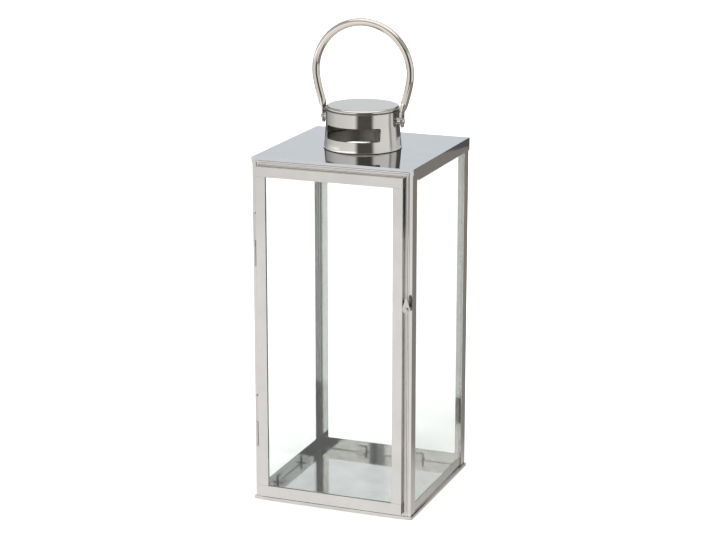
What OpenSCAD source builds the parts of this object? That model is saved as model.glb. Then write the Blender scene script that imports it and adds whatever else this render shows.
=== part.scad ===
// Candle lantern: a square glazed sheet-steel case with a hinged front door, a vented
// chimney cap and a swinging bail handle. Origin at the centre of the underside,
// +Z up, the door faces -Y. Millimetres.

/* [Case] */
// Width outside the corner posts
case_w = 159; // [120:1:220]
// Depth outside the corner posts
case_d = 159; // [120:1:220]
// Height from the underside to the top of the roof
case_h = 338; // [260:1:460]
// Thickness of the sheet steel
sheet = 0.8; // [0.6:0.1:1.2]
// Width of each leg of the corner posts and of the front header
post_leg = 11.5; // [10:0.5:16]

/* [Base tray] */
// Height of the tray rim above the underside
rim_h = 12.6; // [8:0.2:20]
// Height of the folded lip round the foot
lip_h = 3; // [2:0.2:4.4]
// How far the lip stands out past the posts
lip_out = 1.4; // [1:0.1:2.4]

/* [Roof] */
// Height of the rim folded down on the sides and back
roof_rim_h = 12.6; // [8:0.2:16]
// Height of the narrow rim folded down over the door
front_rim_h = 2.8; // [1.6:0.1:3]
// Height of the slanting cut at the front end of each side rim
corner_rise = 6.9; // [4:0.1:7.5]
// Length of that cut along the rim
corner_back = 15.6; // [8:0.1:24]

/* [Front beading] */
// Distance from the outer edge of the frame to the wide bead
bead_inset = 3.9; // [3.6:0.1:4.4]
// Radius of the wide bead
bead_r = 1.3; // [1:0.1:1.5]
// Distance from the outer edge of the frame to the fine bead
fine_bead_inset = 6.4; // [6.1:0.1:7]
// Radius of the fine bead
fine_bead_r = 0.7; // [0.5:0.1:0.9]
// How far both beads stand out of the frame
bead_proud = 0.5; // [0.3:0.05:0.55]

/* [Glass] */
// Thickness of every pane
glass_t = 2; // [1.6:0.1:3]
// Clearance above the fixed panes
pane_top_gap = 1; // [0.6:0.1:2]
// Distance of the side panes from the front and back of the case
pane_end_gap = 2.8; // [2.6:0.1:4]
// Clearance between the back pane and the side panes
pane_side_gap = 0.3; // [0.2:0.1:1]

/* [Glass clips] */
// Width of a clip
clip_w = 9; // [6:0.5:14]
// Length of the clip's foot along the floor or roof
clip_foot = 5; // [4:0.5:8]
// Length of the clip's upright against the glass
clip_up = 7; // [5:0.5:10]
// Distance of each clip from the corner of the case
clip_inset = 49.5; // [24:0.5:55]

/* [Door] */
// Margin from the outer edge of the case to the hinged edge of the door
door_margin_hinge = 5; // [5:0.1:7]
// Margin from the outer edge of the case to the latched edge of the door
door_margin_latch = 8; // [8:0.1:10]
// Height of the bottom of the door above the underside
door_bottom = 4.9; // [4.8:0.1:8]
// Distance of the top of the door below the top of the roof
door_top_drop = 8.2; // [7:0.1:9]
// Width of the two upright stiles
stile_w = 9.8; // [8:0.1:14]
// Height of the top rail
top_rail_h = 9.5; // [8:0.1:14]
// Height of the bottom rail
bottom_rail_h = 11; // [8:0.1:16]
// Clearance between the door and the frame behind it
door_back_gap = 0.9; // [0.9:0.1:1.6]
// Play of the glass between the faces of the door channels
glass_play = 0.1; // [0.05:0.05:0.2]
// Clearance between the edge of the door glass and the bottom of the channel
glass_edge_gap = 1; // [0.5:0.1:3]

/* [Hinges] */
// Length of each hinge barrel
hinge_len = 51; // [30:1:70]
// Centre of the upper hinge below the top of the door
hinge_upper_drop = 71; // [45:1:90]
// Centre of the lower hinge above the bottom of the door
hinge_lower_rise = 75; // [45:1:90]
// Outside diameter of the barrel
barrel_d = 2.8; // [2.4:0.1:3]
// Diameter of the hinge pin
pin_d = 1.5; // [1.2:0.1:1.6]
// Distance of the hinge axis outside the door's edge
hinge_axis_out = 2.5; // [2.4:0.1:2.8]
// Thickness of the hinge leaves
leaf_t = 0.6; // [0.4:0.1:0.6]
// Reach of the leaf on the post, from the hinge axis
leaf_reach = 8; // [6:0.5:8.5]
// Gap between the two barrels and between a barrel and what is beside it
barrel_gap = 0.3; // [0.2:0.05:0.5]
// Radial clearance of a pin or rivet in the piece that turns on it
pin_clear = 0.05; // [0.02:0.01:0.1]
// Height of the head on the hinge pin
pin_head_h = 0.8; // [0.6:0.1:1.2]

/* [Latch] */
// Height of the catch's pivot above the underside
latch_z = 207.8; // [150:1:230]
// Clearance between the edge of the door and the round end of the catch
latch_gap = 0.6; // [0.3:0.1:1]
// Radius of the round end of the catch
latch_r = 3.8; // [3:0.1:4.6]
// Length of the catch from its pivot to its point
latch_reach = 11; // [9:0.5:14]
// Radius of the catch's point
latch_tip_r = 0.8; // [0.5:0.1:1.2]
// Thickness of the catch
latch_t = 1; // [0.8:0.1:1.6]
// Clearance between the catch and the face of the door
latch_face_gap = 0.4; // [0.3:0.1:0.8]
// Diameter of the catch's rivet
latch_rivet_d = 2.4; // [2:0.1:3]
// Diameter of the bush between the post and the catch
latch_bush_d = 4.4; // [4:0.1:5]
// Diameter of the rivet's head
latch_head_d = 5; // [4:0.1:5.6]

/* [Chimney] */
// Outside radius of the chimney cup
cup_r = 35; // [28:0.5:45]
// Height of the cup above the roof
cup_h = 40.5; // [38:0.5:55]
// Radius of the rounded shoulder under the lid
cup_shoulder = 2.6; // [1.5:0.1:4]
// How far the foot of the cup flares out
flare_out = 2.4; // [1:0.1:3]
// Height of the flared foot
flare_h = 20; // [10:0.5:22]
// Height of the vent slots above the roof
slot_z = 10.8; // [9.2:0.1:13]
// Height of each vent slot
slot_h = 12.8; // [8:0.2:13]
// Width of each vent slot, straight across
slot_w = 53.6; // [36:0.2:54]
// Corner radius of the vent slots
slot_corner = 1.4; // [1:0.1:3]
// Distance of the top of the collar inside the cup below the vent slots
collar_drop = 0.8; // [0.4:0.1:4]
// Width of the collar's flange under the roof
collar_flange = 4; // [3:0.1:6]

/* [Bail handle] */
// Diameter of the tube
tube_d = 7.2; // [6:0.1:9]
// How far the loop bows out past the flattened ends, to the middle of the tube
loop_out = 7.9; // [4:0.1:12]
// Length of the straight legs between the loop and the flattened ends
leg_l = 22.5; // [15:0.1:40]
// Height of the handle's pivots above the vent slots
pivot_over_slot = 3.8; // [3.4:0.1:6]
// Gap between the cup and the flattened ends of the handle
tab_gap = 4; // [3:0.1:6]
// Thickness of the flattened ends
tab_t = 1.8; // [1.4:0.1:2.4]
// Width of the flattened ends at the top
tab_w = 9.4; // [8:0.1:12]
// Radius of the rounded tip of the flattened ends
tab_tip_r = 3.2; // [2.6:0.1:3.8]
// Length of the flattened ends above the pivot
tab_up = 9; // [7:0.5:12]
// Length of the flattened ends below the pivot
tab_down = 6.2; // [5:0.1:8]
// Length over which the tube narrows to its flattened end
pinch_len = 10; // [7:0.5:14]
// Diameter of the handle's rivets
bail_rivet_d = 3.6; // [3:0.1:4.2]
// Diameter of the heads of the handle's rivets
bail_head_d = 6.6; // [5.6:0.1:7.4]
// Height of the rivet heads
bail_head_h = 1.6; // [1:0.1:2.2]
// End clearance each side of the flattened ends
tab_play = 0.15; // [0.1:0.05:0.3]

/* [Hidden] */

$fn = 96;
// Overcut that lets a cutting solid run clear past a face
over = 1;
// Height of the faint ridge where two lengths of the handle's tube run into each other
weld = 0.02;
// How far one length of the handle's tube is sunk into the next
lap = 0.3;

steel = "#c9c6c3";
bright = "#d9d6d2";
roof_steel = "#b7b9bd";
dark_steel = "#8f8b87";
pane = "#cfe0dc";

// Half sizes of the case and of the layers inside its posts
hx = case_w / 2;
hy = case_d / 2;
post_in_x = hx - sheet;
post_in_y = hy - sheet;
rim_in_x = post_in_x - sheet;
rim_in_y = post_in_y - sheet;
glass_in_x = rim_in_x - glass_t;
glass_in_y = rim_in_y - glass_t;
roof_under = case_h - sheet;

// Side and back panes
pane_z = sheet;
pane_h = roof_under - pane_top_gap - pane_z;
side_pane_l = 2 * (hy - pane_end_gap);
back_pane_w = 2 * (glass_in_x - pane_side_gap);

// Door
door_x0 = -hx + door_margin_hinge;
door_x1 = hx - door_margin_latch;
door_z0 = door_bottom;
door_z1 = case_h - door_top_drop;
door_t = 2 * sheet + glass_t + 2 * glass_play;
door_back = -hy - door_back_gap;
door_face = door_back - door_t;
stile_z0 = door_z0 + bottom_rail_h;
stile_z1 = door_z1 - top_rail_h;
glass_edge = sheet + glass_edge_gap;

// Hinges: each barrel is two knuckles, the door's on top and the post's below
axis_x = door_x0 - hinge_axis_out;
axis_y = -hy - barrel_gap - barrel_d / 2;
hinge_upper_z = door_z1 - hinge_upper_drop;
hinge_lower_z = door_z0 + hinge_lower_rise;
knuckle_l = (hinge_len - barrel_gap) / 2;
leaf_inset = 1;

// Latch
latch_x = door_x1 + latch_gap + latch_r;
catch_back = door_face - latch_face_gap;
catch_front = catch_back - latch_t;
latch_head_h = 1;

// Chimney and vent
cup_in_r = cup_r - sheet;
collar_h = slot_z - collar_drop;
vent_r = cup_in_r;
collar_in_r = vent_r - sheet;

// Handle: the straight legs leave the loop where they are tangent to it
tab_x = cup_r + tab_gap + tab_t / 2;
pivot_rise = slot_z + slot_h + pivot_over_slot;
pivot_z = case_h + pivot_rise;
tab_top = pivot_z + tab_up;
tip_z = pivot_z - tab_down + tab_tip_r;
tip_a = acos(tab_tip_r / norm([tab_w / 2, tab_top - tip_z])) - atan2(tab_top - tip_z, tab_w / 2);
loop_r = tab_x + loop_out;
leg_reach = sqrt(leg_l * leg_l + loop_r * loop_r);
loop_z = tab_top + sqrt(leg_reach * leg_reach - tab_x * tab_x);
leg_angle = acos(tab_x / leg_reach) - acos(loop_r / leg_reach);
rivet_in_x = cup_in_r - 1.4;

// A box given by its lowest and highest corners
module span(low, high) {
    translate(low) cube(high - low);
}

// A cylinder along X from x0 to x1
module rod_x(x0, x1, d, y = 0, z = 0) {
    translate([x0, y, z]) rotate([0, 90, 0]) cylinder(d = d, h = x1 - x0);
}

// A cylinder along Y from y0 to y1
module rod_y(y0, y1, d, x = 0, z = 0) {
    translate([x, y0, z]) rotate([-90, 0, 0]) cylinder(d = d, h = y1 - y0);
}

// A prism along Y whose outline is given in X and Z
module prism_y(points, y0, y1) {
    translate([0, y1, 0]) rotate([90, 0, 0]) linear_extrude(y1 - y0) polygon(points);
}

// A prism along X whose outline is given in Y and Z
module prism_x(points, x0, x1) {
    translate([x0, 0, 0]) rotate([90, 0, 90]) linear_extrude(x1 - x0) polygon(points);
}

// ---------- Base ----------

module base_tray() {
    color(steel) union() {
        span([-post_in_x, -post_in_y, 0], [post_in_x, post_in_y, sheet]);
        difference() {
            span([-post_in_x, -post_in_y, 0], [post_in_x, post_in_y, rim_h]);
            span([-rim_in_x, -rim_in_y, -over], [rim_in_x, rim_in_y, rim_h + over]);
        }
        difference() {
            span([-hx - lip_out, -hy - lip_out, 0], [hx + lip_out, hy + lip_out, lip_h]);
            span([-post_in_x, -post_in_y, -over], [post_in_x, post_in_y, lip_h + over]);
        }
    }
}

// ---------- Posts, header and top rails ----------

// One bead along Z on the face of the right-hand front post
module upright_bead(inset, r) {
    translate([hx - inset, -hy + r - bead_proud, lip_h]) cylinder(r = r, h = case_h);
}

// One bead along X on the face of the header
module level_bead(inset, r) {
    rod_x(-hx, hx, 2 * r, -hy + r - bead_proud, case_h - inset);
}

// Right-hand front post, with its face mitred to meet the header
module front_post() {
    intersection() {
        union() {
            span([hx - post_leg, -hy, lip_h], [hx, -post_in_y, roof_under]);
            upright_bead(bead_inset, bead_r);
            upright_bead(fine_bead_inset, fine_bead_r);
        }
        prism_y([
            [hx - post_leg, lip_h], [hx, lip_h], [hx, roof_under], [hx - sheet, roof_under],
            [hx - post_leg, case_h - post_leg]
        ], -hy - bead_proud, -post_in_y);
    }
    span([post_in_x, -post_in_y, lip_h], [hx, -hy + post_leg, roof_under]);
}

module back_post() {
    span([hx - post_leg, post_in_y, lip_h], [hx, hy, roof_under]);
    span([post_in_x, hy - post_leg, lip_h], [hx, post_in_y, roof_under]);
}

// Room for a hinge leaf, cut out of the beads
module bead_gap(z) {
    span([-hx - over, -hy - bead_proud - over, z - hinge_len / 2 - leaf_inset],
         [-hx + post_leg + over, -hy, z + hinge_len / 2 + leaf_inset]);
}

module post_front_left() {
    color(bright) difference() {
        mirror([1, 0, 0]) front_post();
        bead_gap(hinge_upper_z);
        bead_gap(hinge_lower_z);
    }
}

module post_front_right() {
    color(bright) difference() {
        front_post();
        rod_y(-hy - bead_proud - over, -hy, latch_bush_d, latch_x, latch_z);
        rod_y(-hy - over, -post_in_y + over, latch_rivet_d, latch_x, latch_z);
    }
}

module post_back_left() {
    color(steel) mirror([1, 0, 0]) back_post();
}

module post_back_right() {
    color(steel) back_post();
}

module front_header() {
    color(bright) intersection() {
        union() {
            span([-hx, -hy, case_h - post_leg], [hx, -post_in_y, roof_under]);
            level_bead(bead_inset, bead_r);
            level_bead(fine_bead_inset, fine_bead_r);
        }
        prism_y([
            [hx - sheet, roof_under], [-hx + sheet, roof_under],
            [-hx + post_leg, case_h - post_leg], [hx - post_leg, case_h - post_leg]
        ], -hy - bead_proud, -post_in_y);
    }
}

module side_top_rail() {
    span([rim_in_x, -post_in_y, case_h - roof_rim_h], [post_in_x, post_in_y, roof_under]);
}

module top_rail_left() {
    color(steel) mirror([1, 0, 0]) side_top_rail();
}

module top_rail_right() {
    color(steel) side_top_rail();
}

module top_rail_back() {
    color(steel) span([-rim_in_x, rim_in_y, case_h - roof_rim_h], [rim_in_x, post_in_y, roof_under]);
}

// ---------- Roof and chimney ----------

module roof_panel() {
    out_x = hx + sheet;
    out_y = hy + sheet;
    low = case_h - roof_rim_h;
    slope = corner_rise / corner_back;
    color(roof_steel) difference() {
        span([-out_x, -out_y, low], [out_x, out_y, case_h]);
        span([-hx, -hy, low - over], [hx, hy, roof_under]);
        span([-out_x - over, -out_y - over, low - over], [out_x + over, -hy, case_h - front_rim_h]);
        prism_x([
            [-out_y - over, low - over], [-out_y + corner_back + over / slope, low - over],
            [-out_y - over, low + corner_rise + over * slope]
        ], -out_x - over, out_x + over);
        translate([0, 0, roof_under - over]) cylinder(r = vent_r, h = sheet + 2 * over);
    }
}

module chimney_collar() {
    color(dark_steel) difference() {
        union() {
            translate([0, 0, roof_under - sheet]) cylinder(r = vent_r, h = 2 * sheet + collar_h);
            translate([0, 0, roof_under - sheet]) cylinder(r = vent_r + collar_flange, h = sheet);
        }
        translate([0, 0, roof_under - sheet - over])
            cylinder(r = collar_in_r, h = 2 * sheet + collar_h + 2 * over);
    }
}

// Solid of revolution of the cup's outside, for a wall set in by the given amount
module cup_body(inset) {
    r = cup_r - inset;
    shoulder = cup_shoulder - inset;
    top = cup_h - inset;
    cylinder(r = r, h = top - shoulder);
    cylinder(r = r - shoulder, h = top);
    translate([0, 0, top - shoulder]) rotate_extrude() translate([r - shoulder, 0]) circle(r = shoulder);
    cylinder(r1 = r + flare_out, r2 = r, h = flare_h);
}

// The vent slots, cut straight through the front and back of the cup
module vent_slots() {
    reach = slot_w / 2 - slot_corner;
    low = slot_z + slot_corner;
    high = slot_z + slot_h - slot_corner;
    past = cup_r + flare_out + over;
    span([-slot_w / 2, -past, low], [slot_w / 2, past, high]);
    span([-reach, -past, slot_z], [reach, past, slot_z + slot_h]);
    for (x = [-reach, reach], z = [low, high])
        rod_y(-past, past, 2 * slot_corner, x, z);
}

module chimney_cup() {
    color(bright) translate([0, 0, case_h]) difference() {
        cup_body(0);
        translate([0, 0, -over]) cylinder(r = cup_in_r + flare_out, h = over);
        cup_body(sheet);
        vent_slots();
        rod_x(-cup_r - over, cup_r + over, bail_rivet_d, 0, pivot_rise);
    }
}

// ---------- Fixed panes and their clips ----------

module side_pane() {
    span([glass_in_x, -side_pane_l / 2, pane_z], [rim_in_x, side_pane_l / 2, pane_z + pane_h]);
}

module glass_left() {
    color(pane, 0.35) mirror([1, 0, 0]) side_pane();
}

module glass_right() {
    color(pane, 0.35) side_pane();
}

module glass_back() {
    color(pane, 0.35)
        span([-back_pane_w / 2, glass_in_y, pane_z], [back_pane_w / 2, rim_in_y, pane_z + pane_h]);
}

// One bent clip on the floor that holds a pane whose inner face is at x = face
module floor_clip(face) {
    span([face - clip_foot, -clip_w / 2, sheet], [face, clip_w / 2, 2 * sheet]);
    span([face - sheet, -clip_w / 2, sheet], [face, clip_w / 2, sheet + clip_up]);
}

// The same clip hung from the roof
module roof_clip(face) {
    translate([0, 0, case_h]) mirror([0, 0, 1]) floor_clip(face);
}

// Two clips at the foot and two at the head of a pane, along Y
module clip_set(face, half) {
    for (y = [-half + clip_inset, half - clip_inset]) translate([0, y, 0]) {
        floor_clip(face);
        roof_clip(face);
    }
}

module glass_clips_left() {
    color(dark_steel) mirror([1, 0, 0]) clip_set(glass_in_x, hy);
}

module glass_clips_right() {
    color(dark_steel) clip_set(glass_in_x, hy);
}

module glass_clips_back() {
    color(dark_steel) rotate([0, 0, 90]) clip_set(glass_in_y, hx);
}

// ---------- Door ----------

// A U channel along X: closed edge at z = 0, open edge at z = w
module channel(x0, x1, w) {
    difference() {
        span([x0, door_face, 0], [x1, door_back, w]);
        span([x0 - over, door_face + sheet, sheet], [x1 + over, door_back - sheet, w + over]);
    }
}

module door_bottom_rail() {
    color(bright) translate([0, 0, door_z0]) channel(door_x0, door_x1, bottom_rail_h);
}

module door_top_rail() {
    color(bright) translate([0, 0, door_z1]) mirror([0, 0, 1]) channel(door_x0, door_x1, top_rail_h);
}

// A U channel along Z: closed edge at x = 0, open edge at x = stile_w
module stile() {
    difference() {
        span([0, door_face, stile_z0], [stile_w, door_back, stile_z1]);
        span([sheet, door_face + sheet, stile_z0 - over], [stile_w + over, door_back - sheet, stile_z1 + over]);
    }
}

module door_hinge_stile() {
    color(bright) translate([door_x0, 0, 0]) stile();
}

module door_latch_stile() {
    color(bright) translate([door_x1, 0, 0]) mirror([1, 0, 0]) stile();
}

module door_glass() {
    color(pane, 0.35)
        span([door_x0 + glass_edge, door_face + sheet + glass_play, door_z0 + sheet],
             [door_x1 - glass_edge, door_back - sheet - glass_play, door_z1 - glass_edge]);
}

// ---------- Hinges ----------

// Lower knuckle and the leaf that lies on the post; the pin is fixed in it
module hinge_post_leaf(z) {
    low = z - hinge_len / 2;
    color(steel) difference() {
        union() {
            translate([axis_x, axis_y, low]) cylinder(d = barrel_d, h = knuckle_l);
            span([axis_x - leaf_t / 2, axis_y, low], [axis_x + leaf_t / 2, -hy, low + knuckle_l]);
            span([axis_x - leaf_t / 2, -hy - leaf_t, low], [axis_x + leaf_reach, -hy, low + knuckle_l]);
        }
        translate([axis_x, axis_y, low - over]) cylinder(d = pin_d, h = knuckle_l + 2 * over);
    }
}

// Upper knuckle and the leaf that lies on the edge of the door
module hinge_door_leaf(z) {
    low = z + hinge_len / 2 - knuckle_l;
    front = axis_y - barrel_d / 2;
    color(steel) difference() {
        union() {
            translate([axis_x, axis_y, low]) cylinder(d = barrel_d, h = knuckle_l);
            span([axis_x, front, low], [door_x0, front + leaf_t, low + knuckle_l]);
            span([door_x0 - leaf_t, door_face + leaf_t, low], [door_x0, door_back - leaf_t, low + knuckle_l]);
        }
        translate([axis_x, axis_y, low - over]) cylinder(d = pin_d + 2 * pin_clear, h = knuckle_l + 2 * over);
    }
}

module hinge_pin(z) {
    low = z - hinge_len / 2;
    top = low + hinge_len + pin_clear;
    color(dark_steel) translate([axis_x, axis_y, 0]) {
        translate([0, 0, low]) cylinder(d = pin_d, h = top - low);
        translate([0, 0, top]) cylinder(d1 = barrel_d, d2 = pin_d, h = pin_head_h);
    }
}

module hinge_upper_post_leaf() {
    hinge_post_leaf(hinge_upper_z);
}

module hinge_upper_door_leaf() {
    hinge_door_leaf(hinge_upper_z);
}

module hinge_upper_pin() {
    hinge_pin(hinge_upper_z);
}

module hinge_lower_post_leaf() {
    hinge_post_leaf(hinge_lower_z);
}

module hinge_lower_door_leaf() {
    hinge_door_leaf(hinge_lower_z);
}

module hinge_lower_pin() {
    hinge_pin(hinge_lower_z);
}

// ---------- Latch ----------

// Teardrop outline: a round end with straight sides running to a small rounded point
module teardrop(r, reach, tip_r) {
    far = reach - tip_r;
    a = asin((r - tip_r) / far);
    circle(r = r);
    translate([0, far]) circle(r = tip_r);
    polygon([
        [r * cos(a), r * sin(a)], [tip_r * cos(a), far + tip_r * sin(a)],
        [-tip_r * cos(a), far + tip_r * sin(a)], [-r * cos(a), r * sin(a)]
    ]);
}

module latch_catch() {
    color(steel) difference() {
        translate([latch_x, catch_back, latch_z]) rotate([90, 0, 0])
            linear_extrude(latch_t) teardrop(latch_r, latch_reach, latch_tip_r);
        rod_y(catch_front - over, catch_back + over, latch_rivet_d + 2 * pin_clear, latch_x, latch_z);
    }
}

module latch_bush() {
    color(dark_steel) difference() {
        rod_y(catch_back + pin_clear, -hy, latch_bush_d, latch_x, latch_z);
        rod_y(catch_back - over, -hy + over, latch_rivet_d, latch_x, latch_z);
    }
}

// Domed head of a rivet, flat on z = 0
module rivet_head(d, h) {
    ball = (d * d / 4 + h * h) / (2 * h);
    intersection() {
        translate([0, 0, h - ball]) sphere(r = ball);
        cylinder(d = d + over, h = h + over);
    }
}

module latch_rivet() {
    color(bright) {
        rod_y(catch_front - pin_clear, -post_in_y, latch_rivet_d, latch_x, latch_z);
        translate([latch_x, catch_front - pin_clear, latch_z]) rotate([90, 0, 0])
            rivet_head(latch_head_d, latch_head_h);
        translate([latch_x, -post_in_y, latch_z]) rotate([-90, 0, 0]) rivet_head(latch_bush_d, sheet);
    }
}

// ---------- Bail handle ----------

// Right-hand leg: round tube, pinched down to a flat pierced end
module bail_leg() {
    translate([loop_r * cos(leg_angle), 0, loop_z - loop_r * sin(leg_angle)]) {
        sphere(d = tube_d + 2 * weld);
        rotate([0, 180 + leg_angle, 0]) cylinder(d = tube_d, h = leg_l - pinch_len);
    }
    hull() {
        translate([tab_x, 0, tab_top]) rotate([0, leg_angle, 0]) translate([0, 0, pinch_len + lap])
            cylinder(d = tube_d - 2 * weld, h = weld, $fn = 48);
        span([tab_x - tab_t / 2, -tab_w / 2, tab_top], [tab_x + tab_t / 2, tab_w / 2, tab_top + weld]);
    }
    difference() {
        union() {
            rod_x(tab_x - tab_t / 2, tab_x + tab_t / 2, 2 * tab_tip_r, 0, tip_z);
            prism_x([
                [-tab_w / 2, tab_top], [-tab_tip_r * cos(tip_a), tip_z - tab_tip_r * sin(tip_a)],
                [tab_tip_r * cos(tip_a), tip_z - tab_tip_r * sin(tip_a)], [tab_w / 2, tab_top]
            ], tab_x - tab_t / 2, tab_x + tab_t / 2);
        }
        rod_x(tab_x - tab_t, tab_x + tab_t, bail_rivet_d + 2 * pin_clear, 0, pivot_z);
    }
}

module bail_handle() {
    color(steel) union() {
        translate([0, 0, loop_z]) rotate([90, 0, 0]) rotate([0, 0, -leg_angle])
            rotate_extrude(angle = 180 + 2 * leg_angle) translate([loop_r, 0]) circle(d = tube_d);
        bail_leg();
        mirror([1, 0, 0]) bail_leg();
    }
}

// Right-hand rivet: a head outside the handle, a shank, and a tail closed inside the cup
module bail_rivet() {
    head_x = tab_x + tab_t / 2 + tab_play;
    color(bright) {
        rod_x(rivet_in_x, head_x, bail_rivet_d, 0, pivot_z);
        translate([head_x, 0, pivot_z]) rotate([0, 90, 0]) rivet_head(bail_head_d, bail_head_h);
        intersection() {
            rod_x(rivet_in_x, cup_in_r, bail_head_d, 0, pivot_z);
            translate([0, 0, pivot_z - bail_head_d]) cylinder(r = cup_in_r, h = 2 * bail_head_d);
        }
    }
}

// Right-hand spacer, hollowed to sit on the round wall of the cup
module bail_spacer() {
    color(dark_steel) difference() {
        rod_x(cup_in_r, tab_x - tab_t / 2 - tab_play, bail_head_d, 0, pivot_z);
        translate([0, 0, pivot_z - bail_head_d]) cylinder(r = cup_r, h = 2 * bail_head_d);
        rod_x(cup_in_r - over, tab_x, bail_rivet_d, 0, pivot_z);
    }
}

module bail_rivet_left() {
    mirror([1, 0, 0]) bail_rivet();
}

module bail_rivet_right() {
    bail_rivet();
}

module bail_spacer_left() {
    mirror([1, 0, 0]) bail_spacer();
}

module bail_spacer_right() {
    bail_spacer();
}

base_tray();
post_front_left();
post_front_right();
post_back_left();
post_back_right();
front_header();
top_rail_left();
top_rail_right();
top_rail_back();
roof_panel();
chimney_collar();
chimney_cup();
glass_left();
glass_right();
glass_back();
glass_clips_left();
glass_clips_right();
glass_clips_back();
door_top_rail();
door_bottom_rail();
door_hinge_stile();
door_latch_stile();
door_glass();
hinge_upper_post_leaf();
hinge_upper_door_leaf();
hinge_upper_pin();
hinge_lower_post_leaf();
hinge_lower_door_leaf();
hinge_lower_pin();
latch_catch();
latch_bush();
latch_rivet();
bail_handle();
bail_rivet_left();
bail_rivet_right();
bail_spacer_left();
bail_spacer_right();
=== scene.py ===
import math

import bmesh
import bpy
from bpy.props import FloatProperty, FloatVectorProperty, PointerProperty
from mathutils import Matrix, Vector


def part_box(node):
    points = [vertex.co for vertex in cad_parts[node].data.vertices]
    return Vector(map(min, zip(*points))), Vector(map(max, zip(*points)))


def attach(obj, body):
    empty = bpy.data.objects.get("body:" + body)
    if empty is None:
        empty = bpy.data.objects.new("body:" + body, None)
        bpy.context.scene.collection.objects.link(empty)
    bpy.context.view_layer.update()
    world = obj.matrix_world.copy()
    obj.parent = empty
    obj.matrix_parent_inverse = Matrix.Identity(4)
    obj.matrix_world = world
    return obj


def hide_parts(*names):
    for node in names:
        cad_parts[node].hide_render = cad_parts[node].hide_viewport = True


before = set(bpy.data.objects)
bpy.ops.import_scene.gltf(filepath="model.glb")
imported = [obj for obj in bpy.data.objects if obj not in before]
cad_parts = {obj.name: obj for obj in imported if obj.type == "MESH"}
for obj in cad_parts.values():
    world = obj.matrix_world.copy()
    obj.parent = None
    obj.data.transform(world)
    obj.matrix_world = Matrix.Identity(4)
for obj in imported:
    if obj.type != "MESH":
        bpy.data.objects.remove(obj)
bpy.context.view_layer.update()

bl_info = {
    "name": "Candle Lantern",
    "version": (1, 0, 0),
    "blender": (4, 5, 0),
    "location": "View3D > Sidebar > Lantern",
    "description": "Finishes a glazed steel candle lantern on its packed frame and sets up its studio",
    "category": "Object",
}

MM = 0.001
CASE = "case"
BAIL = "bail"
# How quickly the glass takes on its green, per metre
GLASS_DENSITY = 34.0


def linear(code):
    """An sRGB hex colour such as c9c6c3 as linear red, green, blue and alpha."""
    shares = [int(code[i:i + 2], 16) / 255 for i in (0, 2, 4)]
    return tuple(s / 12.92 if s <= 0.04045 else ((s + 0.055) / 1.055) ** 2.4 for s in shares) + (1.0,)


def colour_prop(name, description, code):
    return FloatVectorProperty(
        name=name, description=description, subtype="COLOR", size=4, min=0, max=1, default=linear(code)
    )


def length_prop(name, description, default, low=0.0, high=10.0):
    return FloatProperty(
        name=name, description=description, default=default, min=low, max=high,
        subtype="DISTANCE", unit="LENGTH", precision=5,
    )


# ---------- What a user would change ----------


class LanternColours(bpy.types.PropertyGroup):
    """Colours of the metal and the glass."""
    steel: colour_prop("Polished steel", "Bright stainless sheet of the case and door", "cdcac7")
    roof: colour_prop("Roof steel", "Mirror sheet of the roof", "c8cacd")
    cup: colour_prop("Turned steel", "Spun chimney cup", "ccc9c4")
    # This colour also paints shade into the groove under the cup's shoulder and the gap at its foot
    lining_and_shade: colour_prop("Cup lining", "Inside of the cup and its collar, tarnished by heat", "8d8880")
    tube: colour_prop("Tube steel", "Drawn tube of the handle", "d0cac2")
    fittings: colour_prop("Fittings", "Hinges, clips and rivets", "c6c4c1")
    tray: colour_prop("Tray steel", "Sheet of the base tray, which stands under the candle", "cccac6")
    glass: colour_prop("Glass", "Clear float glass", "ffffff")
    glass_depth: colour_prop("Glass depth", "Colour that light takes on inside thick glass", "acd4c2")


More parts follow.
